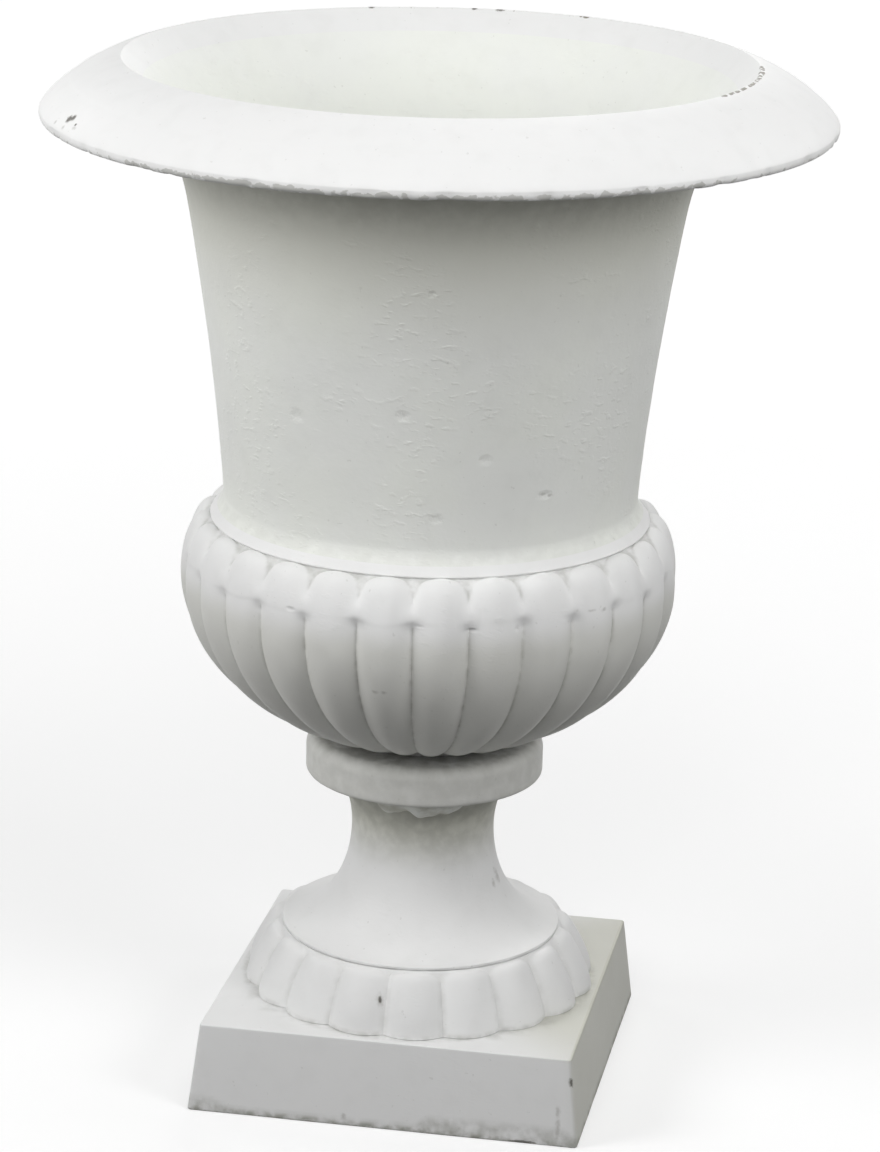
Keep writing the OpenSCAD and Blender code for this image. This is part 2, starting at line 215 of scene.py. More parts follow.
def arc(centre, radii, start, end, step):
    """Points on an arc of an ellipse, between two angles in degrees."""
    count = max(2, math.ceil(math.radians(abs(end - start)) * max(np.abs(radii)) / step))
    t = np.radians(np.linspace(start, end, count + 1))
    return np.column_stack([centre[0] + radii[0] * np.cos(t), centre[1] + radii[1] * np.sin(t)])


def bend(start, corner, end, steps):
    """Points on a smooth bend that leaves and meets the two sides of a corner."""
    t = np.linspace(0, 1, steps + 1)[:, None]
    start, corner, end = (np.array(point, float) for point in (start, corner, end))
    return (1 - t) ** 2 * start + 2 * t * (1 - t) * corner + t ** 2 * end


def join(*stretches):
    """One closed loop of all the stretches, without repeated points."""
    same_place = 1e-6
    points = np.concatenate([np.atleast_2d(np.array(stretch, float)) for stretch in stretches])
    moved = np.hypot(*(points - np.roll(points, 1, 0)).T)
    return points[moved > same_place]


def rounded(loop, radius, sharp_z=None):
    """The loop with its outward corners rounded off, as thick paint does, but for those at one height."""
    least_turn = math.radians(25)
    most_of_side = 0.45
    steps = 4
    points = []
    for before, corner, after in zip(np.roll(loop, 1, 0), loop, np.roll(loop, -1, 0)):
        came = corner - before
        goes = after - corner
        turn = math.atan2(came[0] * goes[1] - came[1] * goes[0], came @ goes)
        if turn < least_turn or corner[1] == sharp_z:
            points.append(corner[None])
            continue
        reach = np.minimum(radius, most_of_side * np.array([np.hypot(*came), np.hypot(*goes)]))
        first = corner - came / np.hypot(*came) * reach[0]
        last = corner + goes / np.hypot(*goes) * reach[1]
        points.append(bend(first, corner, last, steps))
    return np.concatenate(points)


def around(radius, height, angle):
    """Points at radii and heights, at angles from the front."""
    turn = np.radians(angle)
    return np.stack(np.broadcast_arrays(radius * np.sin(turn), -radius * np.cos(turn), height), axis=-1)


def axis_distance(points):
    """Distance of points from the axis."""
    return np.hypot(points[..., 0], points[..., 1])


def even_angles(columns, turn=0):
    """Angles of columns that are spread evenly about the axis, from the given one on."""
    return turn + np.arange(columns) * 360 / columns


def revolve(loop, angles):
    """Rings of points about the axis, one for each point of a loop."""
    return around(loop[:, :1], loop[:, 1:], angles[None])


def lattice_noise(points, size, seed):
    """Smooth noise from 0 to 1, with lumps of about the given size."""
    cells = 32
    grid = np.random.default_rng(seed).random((cells, cells, cells))
    place = points / size
    cell = np.floor(place).astype(int)
    part = place - cell
    part = part * part * (3 - 2 * part)
    total = np.zeros(points.shape[:-1])
    for corner in np.ndindex(2, 2, 2):
        weight = np.prod(np.where(corner, part, 1 - part), axis=-1)
        x, y, z = np.moveaxis((cell + corner) % cells, -1, 0)
        total += weight * grid[x, y, z]
    return total


def ramp(values, low, high):
    """A smooth step from 0 at low to 1 at high."""
    t = np.clip((values - low) / (high - low), 0, 1)
    return t * t * (3 - 2 * t)


def facing(points):
    """Outward directions of a closed grid of points."""
    shortest = 1e-9
    along = np.roll(points, -1, 1) - np.roll(points, 1, 1)
    up = np.roll(points, -1, 0) - np.roll(points, 1, 0)
    direction = np.cross(along, up)
    return direction / np.maximum(np.linalg.norm(direction, axis=-1, keepdims=True), shortest)


def cast(points, lumps, seed):
    """The uneven skin of a sand casting: the points sink in by up to the given depth."""
    broad = lattice_noise(points, 48, seed)
    small = lattice_noise(points, 19, seed + 1)
    depth = 0.6 * broad + 0.4 * small
    return points - facing(points) * (lumps * depth)[..., None]


def quad_places(rows, columns, capped):
    """Row and column of each quad of a grid. No quads close the loop of one that is capped."""
    return np.meshgrid(np.arange(rows - 1 if capped else rows), np.arange(columns), indexing="ij")


def grid_faces(rows, columns, first, capped):
    """Quads of a grid that closes round the axis, and along its loop unless it is capped."""
    i, j = quad_places(rows, columns, capped)
    up = (i + 1) % rows
    right = (j + 1) % columns
    corners = [i * columns + j, i * columns + right, up * columns + right, up * columns + j]
    quads = first + np.stack([corner.ravel() for corner in corners], axis=1)
    faces = quads.tolist()
    if capped:
        ring = np.arange(columns)
        faces.append((first + ring[::-1]).tolist())
        faces.append((first + (rows - 1) * columns + ring).tolist())
    return faces


def grid_map(rows, columns, band, bands, capped):
    """Corners of the quads on the bake map, which is cut into one band for each grid."""
    i, j = quad_places(rows, columns, capped)
    u = np.stack([j, j + 1, j + 1, j], axis=-1) / columns
    v = (band + np.stack([i, i, i + 1, i + 1], axis=-1) / rows) / bands
    places = np.stack([u, v], axis=-1).reshape(-1, 2)
    return np.concatenate([places, np.zeros((2 * columns if capped else 0, 2))])


def add_object(name, data):
    """A new object in the scene."""
    thing = bpy.data.objects.new(name, data)
    bpy.context.scene.collection.objects.link(thing)
    return thing


def add_piece(node, material, grids, traits=None, capped=False):
    """One mesh that stands for a CAD node, made of closed grids of points.

    A piece of one grid can have traits: values at its points, which its material reads by their names.
    """
    sharp_turn = math.radians(38)
    faces = []
    places = []
    first = 0
    for band, grid in enumerate(grids):
        rows, columns = grid.shape[:2]
        faces += grid_faces(rows, columns, first, capped)
        places.append(grid_map(rows, columns, band, len(grids), capped))
        first += rows * columns
    mesh = bpy.data.meshes.new(node)
    vertices = np.concatenate([grid.reshape(-1, 3) for grid in grids]) * MM
    mesh.from_pydata(vertices.tolist(), [], faces)
    mesh.uv_layers.new(name="OFBake").data.foreach_set("uv", np.concatenate(places).ravel())
    for name, values in (traits or {}).items():
        attribute = mesh.attributes.new(name, "FLOAT", "POINT")
        attribute.data.foreach_set("value", np.broadcast_to(values, grids[0].shape[:2]).ravel())
    mesh.shade_smooth()
    mesh.set_sharp_from_angle(angle=sharp_turn)
    mesh.materials.append(material)
    piece = add_object("urn_" + node, mesh)
    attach(piece, "root")
    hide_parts(node)
    return piece


def cut_drains(piece, low, high):
    """Cuts the ring of drain holes through a floor between two heights."""
    side = line((drain_hole_r, low), (drain_hole_r, high), high - low)
    hole = revolve(side, even_angles(DRILL_COLUMNS))
    drill = bpy.data.meshes.new("drill")
    vertices = []
    faces = []
    for angle in even_angles(drain_count, 90):
        faces += grid_faces(len(side), DRILL_COLUMNS, len(vertices), True)
        vertices += ((hole + around(drain_ring_r, 0, angle)).reshape(-1, 3) * MM).tolist()
    drill.from_pydata(vertices, [], faces)
    cutter = add_object("drill", drill)
    cut = piece.modifiers.new("drains", "BOOLEAN")
    cut.operation = "DIFFERENCE"
    cut.solver = "EXACT"
    cut.object = cutter
    bpy.context.view_layer.update()
    whole = piece.evaluated_get(bpy.context.evaluated_depsgraph_get())
    piece.data = bpy.data.meshes.new_from_object(whole)
    piece.modifiers.clear()
    bpy.data.objects.remove(cutter)


# The bell's flare is one round arc from its side to the crest. Its angles are leans off the upright.
flare_start = math.degrees(math.atan((bell_neck_r - bell_foot_r + 4 * bell_hollow) / (z_flare - z_bell)))
wall_r = bell_wall * math.cos(math.radians(flare_start))
wall_z = bell_wall * math.sin(math.radians(flare_start))
flare_in = np.array([bell_neck_r - wall_r, z_flare + wall_z])
flare_chord = np.array([mouth_r, z_crest]) - flare_in
flare_end = 2 * math.degrees(math.atan2(*flare_chord)) - flare_start
flare_radius = np.hypot(*flare_chord) / (2 * math.sin(math.radians(flare_end - flare_start) / 2))
flare_centre = flare_in + flare_radius / bell_wall * np.array([wall_r, -wall_z])
flare_out_radius = flare_radius - bell_wall


def flare_lean(z, radius):
    """Lean at a height of an arc of the flare with the given radius."""
    return math.degrees(math.asin((z - flare_centre[1]) / radius))


# Where the bell and the rim meet inside the mouth
seat_in_r = flare_centre[0] - flare_radius * math.cos(math.radians(flare_lean(z_seat, flare_radius)))


def flare(radius, start, end, step):
    """Points on an arc of the flare between two leans."""
    return arc(flare_centre, (-radius, radius), start, end, step)


def rim_round(width, drop, start, end, step):
    """Points on the rim's round between two angles, from 90 over the crest to 0 at the widest part."""
    count = math.ceil(math.radians(abs(end - start)) * width / step)
    t = np.radians(np.linspace(start, end, count + 1))
    power = 2 / rim_fullness
    return np.column_stack([mouth_r + width * np.cos(t) ** power, z_wide + drop * np.sin(t) ** power])


# Colours of the surfaces
PURE_WHITE = (1, 1, 1, 1)
FRESH_WHITE = (0.82, 0.82, 0.815, 1)
AGED_WHITE = (0.83, 0.845, 0.80, 1)
COOL_WHITE = (0.81, 0.815, 0.81, 1)
# The next two colours paint shade as well as real dust and grime: a dusty grey where the light falls off,
# and a dark grime colour in creases, under overhangs and where parts meet.
DUST_AND_SHADE = (0.58, 0.58, 0.51, 1)
GRIME_AND_SHADE = (0.28, 0.28, 0.24, 1)
WORN_GREY = (0.55, 0.55, 0.53, 1)
RUSTY_GREY = (0.25, 0.235, 0.205, 1)
BARE_IRON = (0.10, 0.095, 0.085, 1)
RUST = (0.20, 0.085, 0.035, 1)
PALE_ZINC = (0.50, 0.50, 0.48, 1)
DULL_ZINC = (0.36, 0.37, 0.37, 1)
FLOOR_LIGHT = (0.60, 0.60, 0.60, 1)
FLOOR_DARK = (0.58, 0.58, 0.58, 1)
FLOOR_UNSEEN = (0.03, 0.03, 0.03, 1)

# How much paint mirrors, where a plain surface has 0.5
PAINT_SHINE = 0.25

# Where the edge of a mark starts and where it ends, as shares of the mark's half size
CRISP_EDGE = (1.1, 0.85)
SOFT_EDGE = (1.5, 0.1)


class Shader:
    """The nodes of one material or of the world, each added with its inputs."""

    def __init__(self, owner):
        owner.use_nodes = True
        self.owner = owner
        self.tree = owner.node_tree
        self.tree.nodes.clear()
        self.place = self.add("ShaderNodeTexCoord", {}).outputs["Object"]

    def add(self, kind, inputs, **settings):
        """Adds a node. Its inputs are values, or outputs of other nodes."""
        node = self.tree.nodes.new(kind)
        for name, value in settings.items():
            setattr(node, name, value)
        for name, value in inputs.items():
            if isinstance(value, bpy.types.NodeSocket):
                self.tree.links.new(value, node.inputs[name])
            else:
                node.inputs[name].default_value = value
        return node

    def math(self, operation, a, b):
        """One step of arithmetic on two values."""
        return self.add("ShaderNodeMath", {0: a, 1: b}, operation=operation).outputs[0]

    def times(self, a, b):
        """The product of two values."""
        return self.math("MULTIPLY", a, b)

    def plus(self, a, b):
        """The sum of two values."""
        return self.math("ADD", a, b)

    def vector(self, operation, a, b):
        """One step of arithmetic on two vectors."""
        return self.add("ShaderNodeVectorMath", {0: a, 1: b}, operation=operation).outputs[0]

    def length(self, vector):
        """The length of a vector."""
        return self.add("ShaderNodeVectorMath", {0: vector}, operation="LENGTH").outputs["Value"]

    def between(self, value, low, high):
        """A value from 0 to 1, spread from low to high."""
        inputs = {"Value": value, "To Min": low, "To Max": high}
        return self.add("ShaderNodeMapRange", inputs).outputs[0]

    def step(self, value, low, high):
        """A smooth step from 0 at low to 1 at high."""
        inputs = {"Value": value, "From Min": low, "From Max": high}
        return self.add("ShaderNodeMapRange", inputs, interpolation_type="SMOOTHSTEP").outputs[0]

    def noise(self, size, detail=2.0, stretch=(1, 1, 1)):
        """Noise with lumps of about the given size in millimetres."""
        place = self.vector("MULTIPLY", self.place, stretch)
        inputs = {"Vector": place, "Scale": 1 / (size * MM), "Detail": detail}
        return self.add("ShaderNodeTexNoise", inputs).outputs["Fac"]

    def trait(self, name):
        """A value that the mesh holds for each of its points."""
        return self.add("ShaderNodeAttribute", {}, attribute_name=name).outputs["Fac"]

    def seen(self):
        """1 for what the camera sees, directly or mirrored, and 0 for the light it gives."""
        ray = self.add("ShaderNodeLightPath", {}).outputs
        mirrored = self.math("MAXIMUM", ray["Is Glossy Ray"], ray["Is Transmission Ray"])
        return self.math("MAXIMUM", ray["Is Camera Ray"], mirrored)

    def mix(self, amount, under, over):
        """One colour over another, by an amount from 0 to 1."""
        inputs = {0: amount, 6: under, 7: over}
        return self.add("ShaderNodeMix", inputs, data_type="RGBA").outputs[2]

    def marked(self, marks, ragged, edge=CRISP_EDGE):
        """1 inside any of the marks and 0 off them, with a more or less ragged edge."""
        far_off = 9.0
        nearest = far_off
        for angle, radius, height, wide, high in marks:
            centre = Vector(around(radius, height, angle)) * MM
            away = self.vector("SUBTRACT", self.place, centre)
            size = Vector((wide, wide, high)) * MM
            scaled = self.vector("DIVIDE", away, size)
            nearest = self.math("MINIMUM", self.length(scaled), nearest)
        wobble = self.times(self.math("SUBTRACT", self.noise(2.2, 3.0), 0.5), ragged)
        return self.step(self.plus(nearest, wobble), *edge)

    def finish(self, colour, roughness, height, metal=0.0, shine=0.5, glow=0.0):
        """Joins colour, roughness and a height in millimetres to the surface."""
        bump = self.add("ShaderNodeBump", {"Strength": 1.0, "Distance": MM, "Height": height})
        inputs = {
            "Base Color": colour,
            "Roughness": roughness,
            "Metallic": metal,
            "Specular IOR Level": shine,
            "Emission Color": PURE_WHITE,
            "Emission Strength": glow,
            "Normal": bump.outputs["Normal"],
        }
        surface = self.add("ShaderNodeBsdfPrincipled", inputs)
        output = self.add("ShaderNodeOutputMaterial", {})
        self.tree.links.new(surface.outputs["BSDF"], output.inputs["Surface"])
        return self.owner


def white_paint(name, chips=(), dents=(), stains=(), lumps=0.12, white=FRESH_WHITE):
    """Thick white paint on rough cast iron, darkened by painted shade and by grime mixed with painted
    shade, with wear and rust where the traits say.

    Chips, dents and stains are marks at given places. Lumps is the depth of its unevenness.
    """
    look = Shader(bpy.data.materials.new(name))
    patches = look.times(look.step(look.noise(80, 3.0), 0.35, 0.65), 0.4)
    colour = look.mix(patches, white, COOL_WHITE)
    blotches = look.times(look.step(look.noise(17, 4.0), 0.45, 0.75), 0.035)
    colour = look.mix(blotches, colour, GRIME_AND_SHADE)
    specks = look.times(look.step(look.noise(3.2, 1.0), 0.745, 0.78), 0.16)
    colour = look.mix(specks, colour, GRIME_AND_SHADE)
    # Painted shade: a dusty grey wherever the light on the urn falls off.
    colour = look.mix(look.trait("painted_shade"), colour, DUST_AND_SHADE)
    # Painted shade in creases, under overhangs and where parts meet, together with real grime, both in the
    # grime colour.
    grime_and_shade = look.times(look.trait("dirt_and_shade"), look.step(look.noise(9, 4.0), 0.25, 0.70))
    colour = look.mix(grime_and_shade, colour, GRIME_AND_SHADE)
    worn = look.step(look.times(look.trait("wear"), look.noise(5.5, 3.0)), 0.44, 0.52)
    colour = look.mix(worn, colour, WORN_GREY)
    rust = look.step(look.times(look.trait("rust"), look.noise(5.5, 3.0)), 0.42, 0.52)
    colour = look.mix(rust, colour, RUSTY_GREY)
    if stains:
        stain = look.times(look.marked(stains, 1.6, SOFT_EDGE), 0.4)
        colour = look.mix(stain, colour, RUSTY_GREY)
    roughness = look.between(look.noise(22, 3.0), 0.45, 0.66)
    coarse = look.times(look.noise(15, 2.0), lumps)
    flecked = look.times(look.step(look.noise(55, 2.0), 0.40, 0.60), lumps * 0.7)
    wrinkles = look.times(look.step(look.noise(7, 2.0, (1, 1, 1.9)), 0.52, 0.76), flecked)
    fine = look.times(look.noise(3.2, 2.0, (1, 1, 1.5)), lumps * 0.3)
    grain = look.times(look.noise(1.2, 2.0), 0.016)
    height = look.plus(look.plus(coarse, wrinkles), look.plus(fine, grain))
    if dents:
        dent = look.times(look.marked(dents, 0.8, SOFT_EDGE), -0.6)
        height = look.plus(height, dent)
    if chips:
        spread = 1.4
        borders = [
            (angle, radius, z, wide * spread, high * spread)
            for angle, radius, z, wide, high in chips
        ]
        border = look.marked(borders, 1.3)
        colour = look.mix(look.times(border, 0.5), colour, RUSTY_GREY)
        chip = look.marked(chips, 1.0)
        colour = look.mix(look.times(chip, 0.75), colour, BARE_IRON)
        height = look.plus(height, look.times(border, -0.35))
        roughness = look.math("MAXIMUM", roughness, look.times(chip, 0.9))
    return look.finish(colour, roughness, height, shine=PAINT_SHINE)


def joint_filler():
    """Lumpy putty, painted over."""
    look = Shader(bpy.data.materials.new("joint_filler"))
    colour = look.mix(look.step(look.noise(16, 3.0), 0.35, 0.65), AGED_WHITE, DUST_AND_SHADE)
    colour = look.mix(look.times(look.step(look.noise(6, 4.0), 0.45, 0.75), 0.12), colour, GRIME_AND_SHADE)
    lumps = look.times(look.noise(5, 3.0), 0.7)
    height = look.plus(lumps, look.times(look.noise(1.4, 2.0), 0.08))
    roughness = look.plus(look.times(look.noise(4, 2.0), 0.3), 0.5)
    return look.finish(colour, roughness, height, shine=PAINT_SHINE)


def zinc_steel():
    """Dull zinc plating with rust coming through."""
    look = Shader(bpy.data.materials.new("zinc_steel"))
    colour = look.mix(look.noise(3.5, 3.0), PALE_ZINC, DULL_ZINC)
    rust = look.step(look.noise(9, 5.0), 0.52, 0.66)
    colour = look.mix(rust, colour, RUST)
    plating = look.plus(look.times(look.noise(2, 2.0), 0.25), 0.3)
    roughness = look.plus(look.times(rust, 0.4), plating)
    height = look.times(look.noise(0.9, 2.0), 0.03)
    metal = look.math("SUBTRACT", 1.0, look.times(rust, 0.9))
    return look.finish(colour, roughness, height, metal)


def square_radius(half, corner, angle):
    """Distance from the axis to the edge of a square with rounded corners, in the direction of an angle."""
    t = np.radians(np.abs((angle + 45) % 90 - 45))
    inner = half - corner
    along = inner * (np.cos(t) + np.sin(t))
    at_corner = along + np.sqrt(np.maximum(0, along ** 2 - 2 * inner ** 2 + corner ** 2))
    return np.where(half * np.tan(t) <= inner, half / np.cos(t), at_corner)


def square_angles(half, corner, side_steps, corner_steps):
    """Angles of points spread along the edge of a square with rounded corners."""
    inner = half - corner
    side = np.degrees(np.arctan2(np.linspace(-inner, inner, side_steps + 1), half))
    turn = np.radians(np.linspace(0, 90, corner_steps + 1)[1:-1])
    at_corner = np.degrees(np.arctan2(inner + corner * np.sin(turn), inner + corner * np.cos(turn)))
    quarter = np.concatenate([side, at_corner])
    return np.concatenate([quarter + start for start in (0, 90, 180, 270)])


def make_plinth():
    """The hollow square foot. Its outline runs from the square sides to the round spigot on its top."""
    spigot_out_r = ring_bore_r - fit_gap
    covered_r = ring_r - 10
    z_roof = z_plinth - plinth_plate
    lean = (plinth_half - plinth_top_half) / z_plinth
    roof_half = plinth_half - lean * z_roof - plinth_wall
    loop = rounded(join(
        line((plinth_half, 0), (plinth_top_half, z_plinth), PLAIN),
        line((plinth_top_half, z_plinth), (covered_r, z_plinth), PLAIN),
        line((covered_r, z_plinth), (spigot_out_r, z_plinth)),
        line((spigot_out_r, z_plinth + spigot_h), (rod_hole_r, z_plinth + spigot_h), HIDDEN * 2),
        line((rod_hole_r, z_roof), (roof_half, z_roof)),
        line((roof_half, z_roof), (plinth_half - plinth_wall, 0)),
    ), radius=1.1)
    angles = square_angles(plinth_half, plinth_corner, side_steps=64, corner_steps=8)
    half = loop[:, :1]
    square = square_radius(half, plinth_corner, angles[None])
    all_square = roof_half - 0.5
    to_round = np.clip((all_square - half) / (all_square - ring_bore_r), 0, 1)
    radius = square * (1 - to_round) + half * to_round
    points = cast(around(radius, loop[:, 1:], angles[None]), lumps=0.35, seed=PLINTH_SEED)
    height = points[..., 2]
    top = ramp(height, z_plinth - 1.5, z_plinth - 0.5)
    # Painted shade on the top, where the ring stands on it.
    under_ring = top * ramp(axis_distance(points), ring_r + 3, ring_r - 1)
    outside = ramp(radius - half, -30, 0) * ramp(half, plinth_top_half - 2, plinth_top_half)
    angle = angles[None]
    front_right = ramp(angle, 8, 15) * ramp(angle, 47, 42)
    left_corner = ramp(np.abs((angle + 225) % 360 - 180), 8, 2)
    reach = 6 + 9 * front_right + 7 * left_corner
    at_ground = 0.55 * ramp(height, reach, 0.4 * reach) + 0.4 * ramp(height, 4, 1)
    # Painted shade: the right side, and the top towards the right, are darker, as they would be under light
    # from the left.
    right_side = ramp(angle, 44, 46) * ramp(angle, 136, 134)
    right_top = ramp(angle, 30, 60) * ramp(angle, 160, 130)
    painted_shade = 0.75 * outside * right_side + 0.8 * top * right_top
    dirt_and_shade = np.clip(outside * at_ground + 0.4 * under_ring, 0, 1)
    chips = [
        (44.9, 174, 43.7, 1.6, 2.8),
        (36, 158, 0.8, 6, 0.9),
    ]
    stains = [
        (42.4, 170, 23.5, 1.6, 3.4),
        (42.2, 171, 14, 1.5, 10),
        (11, 131, 1.0, 6, 1.4),
        (-10.9, 129.5, 6.0, 1.8, 2.6),
    ]
    paint = white_paint("white_paint_plinth", chips, stains=stains, lumps=0.07)
    traits = {
        "dirt_and_shade": dirt_and_shade,
        "painted_shade": painted_shade,
        "wear": 0.9 * outside * ramp(height, 3.5, 1),
        "rust": 0.8 * outside * ramp(height, 2.5, 0.5),
    }
    piece = add_piece("plinth", paint, [points], traits)
    cut_drains(piece, z_roof - 1, z_plinth + spigot_h + 1)


def lobed(base, bump, head, lobes, turn, seed, filled=0.0):
    """Rows of a gadrooned surface: each row is a base point and a bump that each lobe adds to it.

    The valleys between the lobes can be filled with paint, from 0 for not at all to 1 for their most.
    """
    most_filled = 0.65
    uneven = 0.07
    columns = lobes * LOBE_COLUMNS
    column = np.arange(columns)
    across = 2 * (column % LOBE_COLUMNS) / LOBE_COLUMNS - 1
    swell = 1 - uneven * np.random.default_rng(seed).random(lobes)
    rise = np.maximum(0, 1 - across[None] ** 2 - head[:, None] ** 2) * swell[column // LOBE_COLUMNS][None]
    rise = rise + filled * np.maximum(0, most_filled - rise)
    radius = base[:, :1] + bump[:, :1] * rise
    height = base[:, 1:] + bump[:, 1:] * rise
    points = around(radius, height, even_angles(columns, turn)[None])
    return points, rise


def make_foot_ring():
    """The ring of lobes that slopes from the plinth up to the socle."""
    valley_r = ring_r - ring_depth
    spread = valley_r - socle_foot_r
    ring_h = z_ring - z_plinth
    rows = 46
    level = np.linspace(0, 1, rows)
    lean = np.arctan(ring_fullness * spread / ring_h * level ** (ring_fullness - 1))
    radius = socle_foot_r + spread * (1 - level ** ring_fullness)
    base = np.column_stack([radius, z_plinth + ring_h * level])
    bump = ring_depth * np.column_stack([np.cos(lean), np.sin(lean)])
    head = np.maximum(0, 1 - ring_h * (1 - level) / ring_head_h) ** 2
    outside, rise = lobed(base, bump, head, ring_lobes, ring_turn, RING_SEED)
    plain = join(
        line((socle_foot_r - 1, z_ring), (ring_bore_r, z_ring)),
        line((ring_bore_r, z_ring - 1), (ring_bore_r, z_plinth)),
        line((ring_bore_r + 1, z_plinth), (valley_r - 2, z_plinth)),
    )
    inside = revolve(plain, even_angles(ring_lobes * LOBE_COLUMNS, ring_turn))
    points = cast(np.concatenate([outside, inside]), lumps=0.30, seed=RING_SEED + 1)
    hidden = np.zeros(inside.shape[:2])
    height = outside[..., 2]
    # Painted shade in the valleys between the lobes, and along the foot where the ring meets the plinth.
    valley = ramp(rise, 0.35, 0.0) * ramp(height, z_ring + 2, z_ring - 6)
    foot = ramp(height, z_plinth + 4, z_plinth)
    dirt_and_shade = np.concatenate([0.20 * valley + 0.45 * foot * (1 - valley), hidden])
    chips = [(-3.5, 104.5, 79.0, 0.9, 2.6)]
    stains = [(-3.5, 104.5, 78.0, 2.4, 6.0)]
    paint = white_paint("white_paint_foot_ring", chips, stains=stains, lumps=0.10)
    add_piece("foot_ring", paint, [points], {"dirt_and_shade": np.clip(dirt_and_shade, 0, 1)})


def neck_radius(z):
    """Radius of the socle above its narrowest neck."""
    return socle_neck_r + (socle_head_r - socle_neck_r) * ((z - z_neck) / (z_socle - z_neck)) ** 2


def make_socle():
    """The hollow trumpet between the foot ring and the collar."""
    z_edge = z_ring + socle_edge_h
    z_roof = z_socle - socle_plate
    mouth = ring_bore_r - fit_gap - socle_wall
    trumpet = (socle_foot_r - socle_neck_r, z_neck - z_edge)
    neck_z = np.linspace(z_neck, z_socle, 18)[1:]
    hollow_z = np.linspace(z_roof, z_neck, 6)[:-1]
    hollow = arc((socle_foot_r - socle_wall, z_neck), trumpet, 180, 270, HIDDEN)
    loop = rounded(join(
        (socle_foot_r, z_ring),
        arc((socle_foot_r, z_neck), trumpet, 270, 180, PLAIN),
        np.column_stack([neck_radius(neck_z), neck_z]),
        line((spigot_r, z_socle), (spigot_r, z_socle + spigot_h)),
        line((spigot_in_r, z_socle + spigot_h), (spigot_in_r, z_socle)),
        line((rod_hole_r, z_socle), (rod_hole_r, z_roof)),
        np.column_stack([neck_radius(hollow_z) - socle_wall, hollow_z]),
        np.column_stack([np.minimum(hollow[:, 0], mouth), hollow[:, 1]]),
        (mouth, z_ring - spigot_h),
        (ring_bore_r - fit_gap, z_ring - spigot_h),
        (ring_bore_r - fit_gap, z_ring),
    ), radius=0.9)
    points = cast(revolve(loop, even_angles(NECK_COLUMNS)), lumps=0.30, seed=SOCLE_SEED)
    height = points[..., 2]
    radius = axis_distance(points)
    inner_r = np.where(height > z_neck, socle_neck_r - 4, socle_neck_r - 3)
    outside = ramp(radius - inner_r, -2, 0)
    # Painted shade under the collar, and along the foot where the socle meets the ring.
    under_collar = ramp(height, z_socle - 62, z_socle - 20)
    painted_shade = 0.9 * outside * under_collar
    dirt_and_shade = outside * (0.40 * under_collar + 0.15 * ramp(height, z_ring + 3, z_ring))
    stains = [
        (83, 52, 133, 2.6, 6.0),
        (80, 51.5, 139, 1.6, 3.0),
        (74, 53, 131, 2.0, 3.0),
    ]
    dents = [
        (-22, 68, 118, 2.4, 2.0),
        (-12, 72, 114, 3.0, 2.4),
        (79, 53, 131, 3.0, 3.0),
    ]
    paint = white_paint("white_paint_socle", dents=dents, stains=stains, lumps=0.10)
    piece = add_piece("socle", paint, [points], {"dirt_and_shade": dirt_and_shade, "painted_shade": painted_shade})
    cut_drains(piece, z_roof - 1, z_socle + 1)


def make_collar():
    """The thick plain disc under the bowl."""
    low_centre = (collar_r - collar_low_round, z_socle + collar_low_round)
    top_centre = (collar_r - collar_top_round, z_collar - collar_top_round)
    bore_r = spigot_r + fit_gap
    loop = rounded(join(
        line((bore_r, z_socle), (low_centre[0], z_socle)),
        arc(low_centre, (collar_low_round, collar_low_round), -90, 0, FINE),
        line((collar_r, low_centre[1]), (collar_r, top_centre[1]), PLAIN),
        arc(top_centre, (collar_top_round, collar_top_round), 0, 90, FINE),
        line((top_centre[0], z_collar), (bore_r, z_collar)),
    ), radius=0.9)
    points = cast(revolve(loop, even_angles(NECK_COLUMNS)), lumps=0.45, seed=COLLAR_SEED)
    height = points[..., 2]
    radius = axis_distance(points)
    # Painted shade on the top under the bowl, and down the side.
    under_bowl = ramp(height, z_collar - 5, z_collar) * ramp(radius, 78, 66)
    side = ramp(radius, 60, 76)
    dirt_and_shade = 0.55 * under_bowl + 0.18 * side
    painted_shade = 0.38 * side
    paint = white_paint("white_paint_collar", lumps=0.14)
    add_piece("collar", paint, [points], {"dirt_and_shade": dirt_and_shade, "painted_shade": painted_shade})


def make_collar_filler():
    """A lumpy bead round the neck with a sag at the front, one closed section at each angle."""
    angles = even_angles(FILLER_COLUMNS)
    ring = around(socle_head_r, 0.0, angles)
    lump = lattice_noise(ring, 8, FILLER_SEED)
    small_lump = lattice_noise(ring, 4, FILLER_SEED + 1)
    half_spread = sag_spread / 2
    off_middle = np.abs((angles - sag_middle + 180) % 360 - 180)
    sag = ramp(off_middle, half_spread, half_spread - 9)
    width = filler_w * (0.75 + 0.25 * lump)
    width += sag * (sag_w - filler_w) * (0.6 + 0.4 * lump)
    depth = filler_h * (0.7 + 0.3 * small_lump)
    depth += sag * (sag_h - filler_h) * (0.35 + 0.5 * lump + 0.15 * small_lump)
    off_neck = 2 * fit_gap
    down = np.linspace(0, 1, 7)[:-1, None]
    turn = np.radians(np.linspace(0, 90, 13))[:, None]
    inner_z = z_socle - depth[None] * down
    outer_z = z_socle - depth[None] * np.cos(turn)
    height = np.concatenate([inner_z, outer_z])
    radius = neck_radius(height) + off_neck
    radius[len(down):] += width[None] * np.sin(turn)
    points = around(radius, height, angles[None])
    add_piece("collar_filler", joint_filler(), [points])


